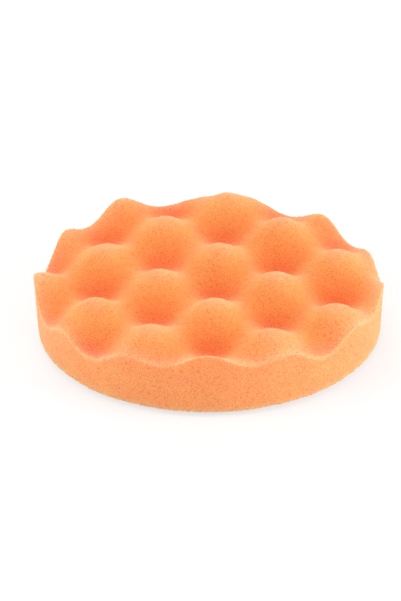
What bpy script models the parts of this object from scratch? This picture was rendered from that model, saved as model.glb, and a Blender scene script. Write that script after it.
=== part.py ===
"""Waffle-faced foam polishing pad with its glue film and loop-cloth backing.

Metres, +Z up. The origin is the centre of the loop face, which the pad lies on.
"""
import math

import bmesh
import bpy

# Driving dimensions of the foam
FACE_DIAMETER = 0.150       # die-cut rim, at the mean height of the waffle
WALL_LEAN = 0.0014          # how far the wall leans in from the face down to the base
MEAN_HEIGHT = 0.0236        # from the foam's base to the middle of the waffle relief
WAFFLE_DEPTH = 0.0126       # from a valley's floor to a peak's top
PEAK_LIFT = 0.0011          # how much peaks stand up and valleys fill in against the saddles
ROW_PITCH = 0.0254          # across the pad, from a peak to the next valley
LINE_PITCH = 0.0244         # along the pad, from a peak to the next valley
WAFFLE_TURN = math.radians(-3.4)
WAFFLE_SHIFT_X = 0.0044     # from the pad's centre to the nearest peak of the relief
WAFFLE_SHIFT_Y = 0.0159
FACE_DROOP = 0.0036         # how far the face falls from the centre line to the left and right rims

# Driving dimensions of the backing
LOOP_INSET = 0.0040         # from the foam's base edge in to the loop cloth's edge
LOOP_THICKNESS = 0.0015
LOOP_EDGE_ROUND = 0.0004
FILM_INSET = 0.0010         # from the loop cloth's edge in to the film's edge
FILM_THICKNESS = 0.0004
LAYER_GAP = 0.0003          # clearance that touching layers keep

# How finely the forms are cut
STEPS_PER_PITCH = 5
RIM_SEGMENTS = 96
DISC_SEGMENTS = 96
EDGE_SEGMENTS = 2
SHARP_ANGLE = math.radians(40.0)
WAVE_MEAN_SQUARE = 0.25     # mean of the squared wave, so that the lift keeps the mean height

# Widths of the layers under the foam, and their heights from the loop face up
BASE_DIAMETER = FACE_DIAMETER - 2.0 * WALL_LEAN
LOOP_DIAMETER = BASE_DIAMETER - 2.0 * LOOP_INSET
FILM_DIAMETER = LOOP_DIAMETER - 2.0 * FILM_INSET
FILM_BASE = LOOP_THICKNESS + LAYER_GAP
FOAM_BASE = FILM_BASE + FILM_THICKNESS + LAYER_GAP

# Colours and roughness of the surfaces
FOAM_COLOUR = (1.0, 0.34, 0.10, 1.0)
FOAM_ROUGHNESS = 0.95
FILM_COLOUR = (0.80, 0.74, 0.60, 1.0)
FILM_ROUGHNESS = 0.45
LOOP_COLOUR = (0.86, 0.86, 0.84, 1.0)
LOOP_ROUGHNESS = 0.90


def clear_scene():
    """Remove whatever objects the file holds."""
    for item in list(bpy.data.objects):
        bpy.data.objects.remove(item, do_unlink=True)


def new_collection(name):
    """A collection linked to the scene."""
    collection = bpy.data.collections.new(name)
    bpy.context.scene.collection.children.link(collection)
    return collection


def new_material(name, colour, roughness):
    """A plain non-metallic surface."""
    material = bpy.data.materials.new(name)
    material.use_nodes = True
    shader = material.node_tree.nodes["Principled BSDF"]
    shader.inputs["Base Color"].default_value = colour
    shader.inputs["Roughness"].default_value = roughness
    shader.inputs["Metallic"].default_value = 0.0
    return material


def new_object(name, form, collection):
    """An object that holds the finished bmesh form."""
    mesh = bpy.data.meshes.new(name)
    form.to_mesh(mesh)
    form.free()
    item = bpy.data.objects.new(name, mesh)
    collection.objects.link(item)
    return item


def finish(item):
    """Turn the object's modifiers into mesh, shaded smooth up to its sharp edges."""
    graph = bpy.context.evaluated_depsgraph_get()
    mesh = bpy.data.meshes.new_from_object(item.evaluated_get(graph))
    item.modifiers.clear()
    item.data = mesh
    mesh.shade_smooth()
    mesh.set_sharp_from_angle(angle=SHARP_ANGLE)


def waffle_height(x, y):
    """Height of the waffle face above the foam's base: peaks and valleys in a checkerboard."""
    across = x * math.cos(WAFFLE_TURN) + y * math.sin(WAFFLE_TURN) - WAFFLE_SHIFT_X
    along = y * math.cos(WAFFLE_TURN) - x * math.sin(WAFFLE_TURN) - WAFFLE_SHIFT_Y
    wave = math.cos(math.pi * across / ROW_PITCH) * math.cos(math.pi * along / LINE_PITCH)
    droop = FACE_DROOP * (2.0 * x / FACE_DIAMETER) ** 2
    return MEAN_HEIGHT - droop + 0.5 * WAFFLE_DEPTH * wave + PEAK_LIFT * (wave * wave - WAVE_MEAN_SQUARE)


def profiled_sheet():
    """A block of foam sheet with the waffle on top, its grid lined up with peaks and valleys."""
    reach = 0.5 * FACE_DIAMETER + max(ROW_PITCH, LINE_PITCH)
    row_step = ROW_PITCH / STEPS_PER_PITCH
    line_step = LINE_PITCH / STEPS_PER_PITCH
    rows = math.ceil(reach / row_step)
    lines = math.ceil(reach / line_step)
    form = bmesh.new()
    bmesh.ops.create_grid(form, x_segments=2 * rows, y_segments=2 * lines, size=1.0)
    for vert in form.verts:
        across = vert.co.x * rows * row_step + WAFFLE_SHIFT_X
        along = vert.co.y * lines * line_step + WAFFLE_SHIFT_Y
        x = across * math.cos(WAFFLE_TURN) - along * math.sin(WAFFLE_TURN)
        y = across * math.sin(WAFFLE_TURN) + along * math.cos(WAFFLE_TURN)
        vert.co = (x, y, FOAM_BASE + waffle_height(x, y))
    border = [edge for edge in form.edges if edge.is_boundary]
    skirt = bmesh.ops.extrude_edge_only(form, edges=border)["geom"]
    for vert in skirt:
        if isinstance(vert, bmesh.types.BMVert):
            vert.co.z = FOAM_BASE
    bmesh.ops.holes_fill(form, edges=[edge for edge in form.edges if edge.is_boundary])
    bmesh.ops.triangulate(form, faces=[face for face in form.faces if len(face.verts) == 4])
    bmesh.ops.recalc_face_normals(form, faces=form.faces)
    return form


def round_die():
    """The round die: a cone with the lean of the pad's wall, which passes the sheet by a waffle's depth."""
    slope = WALL_LEAN / MEAN_HEIGHT
    height = MEAN_HEIGHT + 3.0 * WAFFLE_DEPTH
    low_radius = 0.5 * BASE_DIAMETER - slope * WAFFLE_DEPTH
    form = bmesh.new()
    bmesh.ops.create_cone(
        form,
        cap_ends=True,
        segments=RIM_SEGMENTS,
        radius1=low_radius,
        radius2=low_radius + slope * height,
        depth=height,
    )
    bmesh.ops.translate(form, verts=form.verts, vec=(0.0, 0.0, FOAM_BASE - WAFFLE_DEPTH + 0.5 * height))
    return form


def make_foam(parts, cutters):
    """The foam disc: profiled sheet, cut round by the die."""
    pad = new_object("foam_pad", profiled_sheet(), parts)
    pad.data.materials.append(new_material("orange_foam", FOAM_COLOUR, FOAM_ROUGHNESS))
    die = new_object("round_die", round_die(), cutters)
    die.hide_render = True
    die.display_type = 'WIRE'
    cut = pad.modifiers.new("die_cut", 'BOOLEAN')
    cut.operation = 'INTERSECT'
    cut.solver = 'EXACT'
    cut.object = die
    finish(pad)


def disc(diameter, thickness, base):
    """A flat round layer that stands on the given height."""
    form = bmesh.new()
    bmesh.ops.create_cone(
        form,
        cap_ends=True,
        segments=DISC_SEGMENTS,
        radius1=0.5 * diameter,
        radius2=0.5 * diameter,
        depth=thickness,
    )
    bmesh.ops.translate(form, verts=form.verts, vec=(0.0, 0.0, base + 0.5 * thickness))
    return form


def make_film(parts):
    """The film of hot-melt glue between foam and loop cloth."""
    film = new_object("adhesive_film", disc(FILM_DIAMETER, FILM_THICKNESS, FILM_BASE), parts)
    film.data.materials.append(new_material("hot_melt_glue", FILM_COLOUR, FILM_ROUGHNESS))
    finish(film)


def make_backing(parts):
    """The disc of loop cloth, with its pressed edge rounded."""
    backing = new_object("loop_backing", disc(LOOP_DIAMETER, LOOP_THICKNESS, 0.0), parts)
    backing.data.materials.append(new_material("loop_cloth", LOOP_COLOUR, LOOP_ROUGHNESS))
    edge = backing.modifiers.new("pressed_edge", 'BEVEL')
    edge.width = LOOP_EDGE_ROUND
    edge.segments = EDGE_SEGMENTS
    edge.limit_method = 'ANGLE'
    finish(backing)


def main():
    clear_scene()
    parts = new_collection("polishing_pad")
    cutters = new_collection("cutters")
    make_foam(parts, cutters)
    make_film(parts)
    make_backing(parts)


main()
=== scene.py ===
"""Looks of the waffle-faced polishing pad: foam, glue film and loop cloth, on a plain pale floor."""
import math

import bpy
import numpy as np
from mathutils import Matrix, Vector, noise


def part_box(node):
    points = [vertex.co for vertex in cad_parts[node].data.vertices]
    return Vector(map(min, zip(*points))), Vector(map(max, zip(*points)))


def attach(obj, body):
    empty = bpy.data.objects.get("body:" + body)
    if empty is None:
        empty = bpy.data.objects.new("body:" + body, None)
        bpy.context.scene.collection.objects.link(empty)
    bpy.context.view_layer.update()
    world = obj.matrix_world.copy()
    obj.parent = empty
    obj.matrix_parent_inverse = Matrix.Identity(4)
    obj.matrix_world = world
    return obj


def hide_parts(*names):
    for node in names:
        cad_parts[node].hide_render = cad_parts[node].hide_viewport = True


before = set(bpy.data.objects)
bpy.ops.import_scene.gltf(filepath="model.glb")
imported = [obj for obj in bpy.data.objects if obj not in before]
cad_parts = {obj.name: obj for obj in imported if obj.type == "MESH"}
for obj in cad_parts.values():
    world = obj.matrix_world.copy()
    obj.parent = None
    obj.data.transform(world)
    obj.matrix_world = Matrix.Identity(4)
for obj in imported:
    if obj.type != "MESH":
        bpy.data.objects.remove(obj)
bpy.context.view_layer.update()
cloth_low, cloth_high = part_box("loop_backing")
FOAM_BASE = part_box("foam_pad")[0].z
BASE_CENTRE = Vector((0.0, 0.0, FOAM_BASE))

# The waffle, as the foam solid has it, in metres
FACE_RADIUS = 0.075
WALL_LEAN = 0.0014
MEAN_HEIGHT = 0.0236
WAFFLE_DEPTH = 0.0126
PEAK_LIFT = 0.0011
ROW_PITCH = 0.0254
LINE_PITCH = 0.0244
WAFFLE_TURN = math.radians(-3.4)
WAFFLE_SHIFT = (0.0044, 0.0159)
FACE_DROOP = 0.0036
# mean of the squared wave, so that the lift keeps the mean height
WAVE_MEAN_SQUARE = 0.25

# The foam's fine form, in metres
RIM_ROUND = 0.0008
BASE_ROUND = 0.0005
# the sheet's uneven height, as lumps of one noise
LUMP_SIZE = 0.026
LUMP_HEIGHT = 0.0016
LUMP_SEED = (36.8, 38.9, 9.4)
# each layer of unevenness: (size of its lumps, height of its lumps)
UNEVENNESS = ((0.024, 0.00035), (0.0060, 0.00010), (0.0019, 0.00014), (0.00085, 0.00022))

# How finely the foam is cut, and in how many steps its rim is found
FACE_CELLS = 232
ROUND_ROWS = 5
WALL_ROWS = 38
RIM_STEPS = 4

# How far the paler band reaches from the rim in, down the wall and up from the foot, in metres: partly
# fuzzy cut cells, partly painted highlight
FACE_BAND = 0.0034
WALL_BAND = 0.0019
FOOT_BAND = 0.0030
# how pale the whole wall is painted, partly as fuzzy cut cells and partly as a painted haze of light, and
# between valley (0) and peak (1) which height of the painted shade and highlight its tone is taken from
WALL_FRAY_AND_HAZE = 0.32
WALL_RELIEF = 0.56

# The foam's look, with features counted to the metre
PORE_COUNT = 1650.0
STRUT_COUNT = 2100.0
DRIFT_COUNT = 55.0
# how much the pores weigh against the struts, and how much paler the band of fuzzy cut cells and painted
# highlight is
PORE_SHARE = 0.55
FRAY_LIGHT_SHARE = 0.48
FRAY_LIGHT_COLOUR = (1.0, 0.70, 0.46, 1.0)
FOAM_SHEEN = (1.0, 0.86, 0.74, 1.0)
# how far red, green and blue light go inside the foam
FOAM_DEPTHS = (1.0, 0.22, 0.10)

# The loop cloth's fine form, in metres, and how finely it is cut
LOOP_PITCH = (0.0026, 0.0022)
LOOP_RELIEF = 0.00045
CLOTH_CELLS = 296
CLOTH_ROWS = 4
# how far the rows of loops wander, and over what length
LOOP_WANDER = 0.0009
LOOP_WANDER_SIZE = 0.0055
# the vector noise takes its seed from the clock unless one is set
LOOP_SEED = 7
# how unequal the loops' heights are, and how full their tops, across and along a row
LOOP_SPREAD = 0.35
LOOP_POWERS = (0.8, 0.6)
# where the cloth's edge starts, as a share of its thickness, and the loop height whose painted shade its
# tone is taken from
EDGE_START = 0.35
EDGE_RELIEF = 0.56

# The looks of the cloth and the glue film, with features counted to the metre
FIBRE_COUNT = 3200.0
TUFT_COUNT = 420.0
FLOW_COUNT = 160.0
FIBRE_STRETCH = (1.0, 0.25, 1.0)

# The photograph's view
FRAME_PX = (401, 601)
CENTRE_PX = (209.1, 324.3)
PX_PER_METRE = 2313.0
VIEW_ELEVATION = math.radians(29.7)
VIEW_DISTANCE = 1.506
VIEW_ROLL = math.radians(-0.6)
SENSOR = 36.0

# The floor, with its reach to each side in metres
FLOOR_REACH = 6.0
FLOOR_GREY = 0.92
FLOOR_ROUGHNESS = 0.9
# how much white lies over it by the pad, and between which distances this rises to all white
FLOOR_WHITE = 0.65
FLOOR_FADE = (0.25, 1.6)

# The light: a tent all round, and soft boxes, each with its name, place and watts
TENT_STRENGTH = 0.48
BOX_SIZE = 0.9
BOXES = (
    ("right_box", (1.32, -0.30, 0.34), 17.0),
    ("left_box", (-1.12, -0.38, 0.72), 9.0),
    ("front_box", (0.0, -0.90, 1.04), 3.0),
    ("back_box", (-0.30, 1.18, 0.68), 6.0),
    ("top_box", (0.0, 0.0, 1.40), 2.5),
)

# A mix node's sockets for colours: its factor and two colours in, one colour out
MIX_INPUTS = (0, 6, 7)
MIX_OUTPUT = 2


def grey(level):
    """A grey, from black (0) to white (1)."""
    return level, level, level, 1.0


class Nodes:
    """Wires up the nodes of one material or world."""

    def __init__(self, tree):
        self.tree = tree

    def feed(self, socket, value):
        """Links another node's output to an input, or sets the input's own value."""
        if isinstance(value, bpy.types.NodeSocket):
            self.tree.links.new(value, socket)
        else:
            socket.default_value = value

    def fill(self, node, **inputs):
        """Feeds a node's inputs by name, with underscores for blanks."""
        for key, value in inputs.items():
            self.feed(node.inputs[key.replace("_", " ")], value)

    def add(self, kind, settings=None, **inputs):
        """A node with its settings, whose inputs are values or other nodes' outputs."""
        node = self.tree.nodes.new(kind)
        for key, value in (settings or {}).items():
            setattr(node, key, value)
        self.fill(node, **inputs)
        return node

    def place(self):
        """Where a point lies on its object, in metres."""
        return self.add("ShaderNodeTexCoord").outputs["Object"]

    def point_value(self, name):
        """A named value that the mesh keeps for each point."""
        return self.add("ShaderNodeAttribute", {"attribute_name": name}).outputs["Fac"]

    def noise(self, place, count, **inputs):
        """A noise with so many lumps to the metre."""
        return self.add("ShaderNodeTexNoise", Vector=place, Scale=count, **inputs).outputs["Fac"]

    def ramp(self, fac, stops):
        """A colour ramp with the given (position, colour) stops."""
        node = self.add("ShaderNodeValToRGB", Fac=fac)
        elements = node.color_ramp.elements
        while len(elements) < len(stops):
            elements.new(0.5)
        for element, (position, colour) in zip(elements, stops):
            element.position = position
            element.color = colour
        return node.outputs["Color"]

    def mix(self, fac, first, second, blend='MIX'):
        """A colour mix."""
        node = self.add("ShaderNodeMix", {"data_type": 'RGBA', "blend_type": blend})
        for index, value in zip(MIX_INPUTS, (fac, first, second)):
            self.feed(node.inputs[index], value)
        return node.outputs[MIX_OUTPUT]

    def math(self, operation, first, second):
        """One step of arithmetic."""
        node = self.add("ShaderNodeMath", {"operation": operation})
        self.feed(node.inputs[0], first)
        self.feed(node.inputs[1], second)
        return node.outputs[0]

    def bump(self, height, **inputs):
        """A normal that follows a fine height."""
        return self.add("ShaderNodeBump", Height=height, **inputs).outputs["Normal"]

    def looked_at(self):
        """1 for a ray that looks, straight or through gloss or glass, and 0 for one that gathers light."""
        path = self.add("ShaderNodeLightPath").outputs
        looking = self.math('MAXIMUM', path["Is Camera Ray"], path["Is Glossy Ray"])
        return self.math('MAXIMUM', looking, path["Is Transmission Ray"])


def new_material(name):
    """A material, its node helper and its Principled shader."""
    material = bpy.data.materials.new(name)
    material.use_nodes = True
    return material, Nodes(material.node_tree), material.node_tree.nodes["Principled BSDF"]


def foam_material():
    """Open-cell foam with pores and a fuzzy sheen, deeper orange in the valleys and paler on the peaks as
    painted shade and highlight, and paler near the cut rim, wall and foot, partly as fuzzy cut cells and
    partly as painted highlight.
    """
    material, nodes, shader = new_material("open_cell_foam")
    place = nodes.place()
    pores = nodes.add("ShaderNodeTexVoronoi", {"feature": 'F1'}, Vector=place, Scale=PORE_COUNT)
    struts = nodes.noise(place, STRUT_COUNT, Detail=3.0, Roughness=0.65)
    drift = nodes.noise(place, DRIFT_COUNT, Detail=2.0, Roughness=0.5)
    grain = nodes.math('ADD', nodes.math('MULTIPLY', pores.outputs["Distance"], PORE_SHARE), struts)
    # Painted shade and highlight: deeper orange in the valleys, paler on the peaks.
    painted_light_by_height = nodes.ramp(nodes.point_value("relief"), (
        (0.0, (1.0, 0.197, 0.060, 1.0)),
        (0.35, (0.95, 0.310, 0.089, 1.0)),
        (0.55, (0.91, 0.345, 0.100, 1.0)),
        (0.80, (0.90, 0.402, 0.130, 1.0)),
        (1.0, (0.93, 0.450, 0.197, 1.0)),
    ))
    grain_tone = nodes.ramp(grain, (
        (0.40, (1.02, 1.07, 1.09, 1.0)),
        (0.80, (0.94, 0.855, 0.825, 1.0)),
        (1.00, (0.84, 0.56, 0.48, 1.0)),
    ))
    drift_tone = nodes.ramp(drift, (
        (0.3, (0.98, 0.94, 0.92, 1.0)),
        (0.7, (1.0, 1.04, 1.05, 1.0)),
    ))
    # Paler near the rim, wall and foot: partly fuzzy cut cells, partly painted highlight.
    fray_and_light = nodes.math('MULTIPLY', nodes.point_value("cut"), FRAY_LIGHT_SHARE)
    fray_and_light_colour = nodes.mix(fray_and_light, painted_light_by_height, FRAY_LIGHT_COLOUR)
    toned = nodes.mix(1.0, fray_and_light_colour, grain_tone, 'MULTIPLY')
    nodes.fill(
        shader,
        Base_Color=nodes.mix(1.0, toned, drift_tone, 'MULTIPLY'),
        Roughness=nodes.ramp(struts, ((0.3, grey(0.86)), (0.7, grey(1.0)))),
        Normal=nodes.bump(nodes.math('SUBTRACT', 1.0, grain), Strength=0.55, Distance=0.0004),
        Specular_IOR_Level=0.15,
        Sheen_Weight=0.35,
        Sheen_Roughness=0.30,
        Sheen_Tint=FOAM_SHEEN,
        Subsurface_Weight=0.85,
        Subsurface_Radius=FOAM_DEPTHS,
        Subsurface_Scale=0.010,
    )
    return material


def film_material():
    """Milky hot-melt film with faint flow marks."""
    material, nodes, shader = new_material("hot_melt_film")
    flow = nodes.noise(nodes.place(), FLOW_COUNT, Detail=4.0, Distortion=1.2)
    tone = nodes.ramp(flow, (
        (0.3, (0.72, 0.65, 0.50, 1.0)),
        (0.7, (0.86, 0.80, 0.68, 1.0)),
    ))
    nodes.fill(
        shader,
        Base_Color=tone,
        Roughness=nodes.ramp(flow, ((0.3, grey(0.30)), (0.7, grey(0.55)))),
        Normal=nodes.bump(flow, Strength=0.3, Distance=0.0001),
    )
    return material


def cloth_material():
    """Brushed white loop cloth: fibre streaks over the knit, with painted shade that makes it greyer
    between the loops.
    """
    material, nodes, shader = new_material("brushed_loop")
    place = nodes.place()
    stretched = nodes.add("ShaderNodeMapping", Vector=place, Scale=FIBRE_STRETCH).outputs["Vector"]
    fibre = nodes.noise(stretched, FIBRE_COUNT, Detail=3.0)
    tuft = nodes.noise(place, TUFT_COUNT, Detail=3.0, Distortion=0.8)
    # Painted shade: greyer where the cloth lies low between the loops.
    painted_loop_shade = nodes.ramp(nodes.point_value("relief"), (
        (0.0, (0.56, 0.56, 0.55, 1.0)),
        (0.6, (0.84, 0.84, 0.82, 1.0)),
    ))
    streaks = nodes.math('MULTIPLY', fibre, tuft)
    fibre_tone = nodes.ramp(streaks, ((0.12, grey(0.84)), (0.40, grey(1.04))))
    nodes.fill(
        shader,
        Base_Color=nodes.mix(1.0, painted_loop_shade, fibre_tone, 'MULTIPLY'),
        Roughness=0.9,
        Normal=nodes.bump(fibre, Strength=0.6, Distance=0.0002),
        Sheen_Weight=0.4,
        Sheen_Roughness=0.4,
    )
    return material


def floor_material():
    """A pale matt floor, made whiter where it is looked at and all white far away."""
    material, nodes, shader = new_material("pale_floor")
    nodes.fill(shader, Base_Color=grey(FLOOR_GREY), Roughness=FLOOR_ROUGHNESS)
    white = nodes.add("ShaderNodeEmission", Color=grey(1.0), Strength=1.0)
    away = nodes.add("ShaderNodeVectorMath", {"operation": 'LENGTH'}, Vector=nodes.place())
    whiteness = nodes.add(
        "ShaderNodeMapRange",
        {"interpolation_type": 'SMOOTHSTEP'},
        Value=away.outputs["Value"],
        From_Min=FLOOR_FADE[0],
        From_Max=FLOOR_FADE[1],
        To_Min=FLOOR_WHITE,
        To_Max=1.0,
    )
    share = nodes.math('MULTIPLY', nodes.looked_at(), whiteness.outputs["Result"])
    blend = nodes.add("ShaderNodeMixShader", Fac=share)
    nodes.feed(blend.inputs[1], shader.outputs[0])
    nodes.feed(blend.inputs[2], white.outputs[0])
    nodes.fill(material.node_tree.nodes["Material Output"], Surface=blend.outputs[0])
    return material


def concentric_disc(cells):
    """A square grid folded onto the unit disc: its points, quads and counterclockwise border loop."""
    line = np.linspace(-1.0, 1.0, cells + 1)
    a, b = np.meshgrid(line, line, indexing="ij")
    flat = np.abs(a) > np.abs(b)
    with np.errstate(divide="ignore", invalid="ignore"):
        turn = np.where(flat, 0.25 * math.pi * b / a, 0.5 * math.pi - 0.25 * math.pi * a / b)
    reach = np.where(flat, a, b)
    turn = np.nan_to_num(turn)
    points = np.stack([reach * np.cos(turn), reach * np.sin(turn)], -1).reshape(-1, 2)
    index = np.arange((cells + 1) ** 2).reshape(cells + 1, cells + 1)
    corners = [index[:-1, :-1], index[1:, :-1], index[1:, 1:], index[:-1, 1:]]
    quads = np.stack(corners, -1).reshape(-1, 4)
    border = np.concatenate([index[:-1, 0], index[-1, :-1], index[:0:-1, -1], index[0, :0:-1]])
    return points, quads.tolist(), border


def lumps(x, y):
    """How much the foam sheet stands above or below its mean height, at each of many points."""
    across = (x / LUMP_SIZE + LUMP_SEED[0]).tolist()
    along = (y / LUMP_SIZE + LUMP_SEED[1]).tolist()
    return LUMP_HEIGHT * np.array([noise.noise((a, b, LUMP_SEED[2])) for a, b in zip(across, along)])


def waffle(x, y):
    """The wave of the relief at a point, from valley (-1) to peak (1), and the face's height there."""
    across = x * math.cos(WAFFLE_TURN) + y * math.sin(WAFFLE_TURN) - WAFFLE_SHIFT[0]
    along = y * math.cos(WAFFLE_TURN) - x * math.sin(WAFFLE_TURN) - WAFFLE_SHIFT[1]
    wave = np.cos(math.pi * across / ROW_PITCH) * np.cos(math.pi * along / LINE_PITCH)
    droop = FACE_DROOP * (x / FACE_RADIUS) ** 2
    lift = PEAK_LIFT * (wave * wave - WAVE_MEAN_SQUARE)
    height = MEAN_HEIGHT - droop + 0.5 * WAFFLE_DEPTH * wave + lift + lumps(x, y)
    return wave, FOAM_BASE + height


def wall_radius(z):
    """The leaning wall's radius at a height."""
    return FACE_RADIUS - WALL_LEAN * (1.0 - (z - FOAM_BASE) / MEAN_HEIGHT)


def rim(turn):
    """The radius and the height at which the waffle meets the wall, by direction."""
    radius = np.full_like(turn, FACE_RADIUS)
    for _ in range(RIM_STEPS):
        radius = wall_radius(waffle(radius * np.cos(turn), radius * np.sin(turn))[1])
    return radius, waffle(radius * np.cos(turn), radius * np.sin(turn))[1]


def rounded(first, corner, last):
    """Rows of (radius, height) pairs along a curve that rounds a corner, without its first row."""
    rows = []
    for t in np.linspace(0.0, 1.0, ROUND_ROWS + 1)[1:]:
        ends = zip(first, corner, last)
        rows.append(tuple((1 - t) ** 2 * p + 2 * t * (1 - t) * q + t * t * r for p, q, r in ends))
    return rows


def foam_side(way, face_r, face_z):
    """Rows of (radius, height) pairs from the face over the rim, down the wall and round the foot."""
    rim_r, rim_z = rim(way)
    below_rim = rim_z - RIM_ROUND
    foot_z = np.full_like(way, FOAM_BASE + BASE_ROUND)
    foot_r = wall_radius(foot_z)
    base_z = np.full_like(way, FOAM_BASE)
    rows = rounded((face_r, face_z), (rim_r, rim_z), (wall_radius(below_rim), below_rim))
    for step in np.linspace(0.0, 1.0, WALL_ROWS + 1)[1:]:
        row_z = below_rim + (foot_z - below_rim) * step
        rows.append((wall_radius(row_z), row_z))
    rows += rounded((foot_r, foot_z), (wall_radius(base_z), base_z), (foot_r - BASE_ROUND, base_z))
    return rows


def fray_and_light_share(points, on_wall):
    """How much paler each point is painted: most at the rim and foot, a little all over the wall; partly
    fuzzy cut cells, partly painted highlight.
    """
    spread = np.hypot(points[:, 0], points[:, 1])
    rim_r, rim_z = rim(np.arctan2(points[:, 1], points[:, 0]))
    from_rim = np.hypot(rim_r - spread, rim_z - points[:, 2])
    from_foot = np.hypot(wall_radius(FOAM_BASE) - spread, points[:, 2] - FOAM_BASE)
    by_rim = np.exp(-from_rim / np.where(on_wall, WALL_BAND, FACE_BAND))
    by_foot = np.exp(-from_foot / FOOT_BAND)
    return np.maximum.reduce([by_rim, by_foot, np.where(on_wall, WALL_FRAY_AND_HAZE, 0.0)])


def close_side(points, faces, border, rows, way):
    """Adds a ring of points for each (radius, height) row, from a border loop on, and caps the last."""
    after = np.roll(np.arange(len(border)), -1)
    last = border
    for radius, z in rows:
        new = len(points) + np.arange(len(border))
        points = np.concatenate([points, np.stack([radius * np.cos(way), radius * np.sin(way), z], -1)])
        faces = faces + np.stack([last, new, new[after], last[after]], -1).tolist()
        last = new
    return points, faces + [last[::-1].tolist()]


def add_object(name, data):
    """An object in the scene for a mesh, a lamp or a camera."""
    item = bpy.data.objects.new(name, data)
    bpy.context.scene.collection.objects.link(item)
    return item


def mesh_from(name, points, faces, **values):
    """A smooth mesh object that keeps the named values of each point."""
    mesh = bpy.data.meshes.new(name)
    mesh.from_pydata(points.tolist(), [], faces)
    for key, value in values.items():
        mesh.attributes.new(key, 'FLOAT', 'POINT').data.foreach_set("value", value)
    mesh.shade_smooth()
    mesh.update()
    return add_object(name, mesh)


def roughen(item, layers):
    """Moves each point along its normal by a fixed noise, so that no form is mathematically clean."""
    mesh = item.data
    places = np.empty(len(mesh.vertices) * 3)
    mesh.vertices.foreach_get("co", places)
    places = places.reshape(-1, 3)
    normals = np.array([normal.vector for normal in mesh.vertex_normals])
    push = np.zeros(len(places))
    for size, height in layers:
        push += height * np.array([noise.noise(Vector(p / size)) for p in places])
    places += normals * push[:, None]
    mesh.vertices.foreach_set("co", places.ravel())
    mesh.update()


def make_foam():
    """The foam disc: waffle face, rounded die-cut rim, leaning wall and flat base."""
    disc, quads, border = concentric_disc(FACE_CELLS)
    turn = np.arctan2(disc[:, 1], disc[:, 0])
    reach = np.hypot(disc[:, 0], disc[:, 1]) * (rim(turn)[0] - RIM_ROUND)
    x, y = reach * np.cos(turn), reach * np.sin(turn)
    wave, z = waffle(x, y)
    way = turn[border]
    rows = foam_side(way, reach[border], z[border])
    points, faces = close_side(np.stack([x, y, z], -1), quads, border, rows, way)
    on_wall = np.arange(len(points)) >= len(disc)
    # The wall takes one level of the painted shade and highlight that the relief drives.
    relief = np.full(len(points), WALL_RELIEF)
    relief[:len(disc)] = 0.5 + 0.5 * wave
    # Paler near the rim, foot and wall: partly fuzzy cut cells, partly painted highlight and haze.
    cut = fray_and_light_share(points, on_wall)
    foam = mesh_from("waffle_foam", points, faces, relief=relief, cut=cut)
    roughen(foam, UNEVENNESS)
    foam.data.materials.append(foam_material())
    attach(foam, "root")
    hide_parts("foam_pad")


def loop_heights(x, y):
    """How high the loops stand at each point (0 to 1), in uneven rows shifted by half a loop in turn."""
    noise.seed_set(LOOP_SEED)
    places = np.stack([x, y], -1) / LOOP_WANDER_SIZE
    wander = np.array([noise.noise_vector((a, b, 0.0)) for a, b in places.tolist()])
    across = (x + LOOP_WANDER * wander[:, 0]) / LOOP_PITCH[0]
    along = (y + LOOP_WANDER * wander[:, 1]) / LOOP_PITCH[1]
    across += 0.5 * np.mod(np.floor(along), 2.0)
    loop = np.abs(np.sin(math.pi * across)) ** LOOP_POWERS[0]
    loop *= np.abs(np.sin(math.pi * along)) ** LOOP_POWERS[1]
    return loop * (1.0 - LOOP_SPREAD * (0.5 + wander[:, 2]).clip(0.0, 1.0))


def make_cloth():
    """The loop cloth: a disc with a knitted ground above and rows of brushed loops below."""
    radius = 0.5 * (cloth_high.x - cloth_low.x)
    disc, quads, border = concentric_disc(CLOTH_CELLS)
    x, y = disc[:, 0] * radius, disc[:, 1] * radius
    loop = loop_heights(x, y)
    underside = np.stack([x, y, cloth_low.z + LOOP_RELIEF * (1.0 - loop)], -1)
    way = np.arctan2(y[border], x[border])
    edge_r = np.full_like(way, radius)
    thickness = cloth_high.z - cloth_low.z
    steps = np.linspace(EDGE_START, 1.0, CLOTH_ROWS)
    rows = [(edge_r, np.full_like(way, cloth_low.z + thickness * step)) for step in steps]
    points, faces = close_side(underside, quads, border, rows, way)
    # The cloth's edge takes one level of the painted shade between the loops.
    relief = np.full(len(points), EDGE_RELIEF)
    relief[:len(disc)] = loop
    cloth = mesh_from("loop_cloth", points, [face[::-1] for face in faces], relief=relief)
    cloth.data.materials.append(cloth_material())
    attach(cloth, "root")
    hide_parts("loop_backing")


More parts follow.
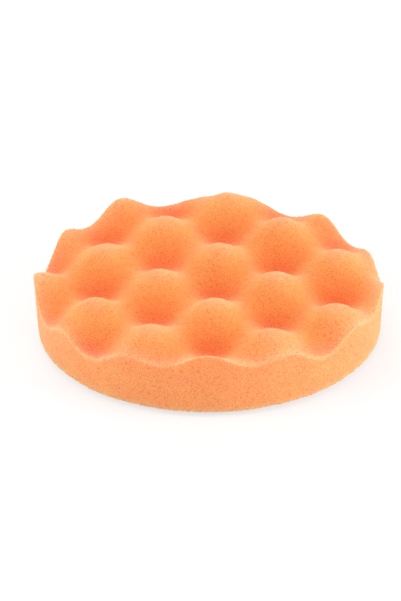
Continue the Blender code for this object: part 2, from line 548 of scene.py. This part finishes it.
def make_floor():
    """A plain pale floor that takes the pad's soft shadow."""
    corners = np.array([(-1.0, -1.0, 0.0), (1.0, -1.0, 0.0), (1.0, 1.0, 0.0), (-1.0, 1.0, 0.0)])
    floor = mesh_from("floor", FLOOR_REACH * corners, [[0, 1, 2, 3]])
    floor.data.materials.append(floor_material())


def aim(item, target, roll=0.0):
    """Turns a lamp or camera to look at a point."""
    way = (target - item.location).to_track_quat('-Z', 'Y').to_matrix()
    item.rotation_euler = (way @ Matrix.Rotation(roll, 3, 'Z')).to_euler()


def make_tent():
    """A white tent all round, which lights the pad less brightly than it looks."""
    world = bpy.data.worlds.new("white_tent")
    bpy.context.scene.world = world
    world.use_nodes = True
    nodes = Nodes(world.node_tree)
    extra = nodes.math('MULTIPLY', nodes.looked_at(), 1.0 - TENT_STRENGTH)
    strength = nodes.math('ADD', TENT_STRENGTH, extra)
    nodes.fill(world.node_tree.nodes["Background"], Color=grey(1.0), Strength=strength)


def make_boxes():
    """Square soft boxes on all four sides and above, which look at the pad."""
    for name, place, watts in BOXES:
        data = bpy.data.lights.new(name, 'AREA')
        data.size = BOX_SIZE
        data.energy = watts
        lamp = add_object(name, data)
        lamp.location = place
        aim(lamp, BASE_CENTRE)


def make_camera():
    """The photograph's view: from the front, well above the pad, through a long lens."""
    data = bpy.data.cameras.new("photo_view")
    data.sensor_width = SENSOR
    data.lens = VIEW_DISTANCE * PX_PER_METRE / max(FRAME_PX) * SENSOR
    camera = add_object("photo_view", data)
    up = Vector((0.0, math.sin(VIEW_ELEVATION), math.cos(VIEW_ELEVATION)))
    back = Vector((0.0, -math.cos(VIEW_ELEVATION), math.sin(VIEW_ELEVATION)))
    right = Vector((1.0, 0.0, 0.0))
    camera.location = BASE_CENTRE + VIEW_DISTANCE * back
    aim_right = (0.5 * FRAME_PX[0] - CENTRE_PX[0]) / PX_PER_METRE
    aim_up = (CENTRE_PX[1] - 0.5 * FRAME_PX[1]) / PX_PER_METRE
    aim(camera, BASE_CENTRE + aim_right * right + aim_up * up, VIEW_ROLL)
    bpy.context.scene.camera = camera


make_foam()
make_cloth()
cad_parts["adhesive_film"].data.materials[0] = film_material()
make_floor()
make_tent()
make_boxes()
make_camera()
bpy.context.scene.view_settings.view_transform = 'Standard'
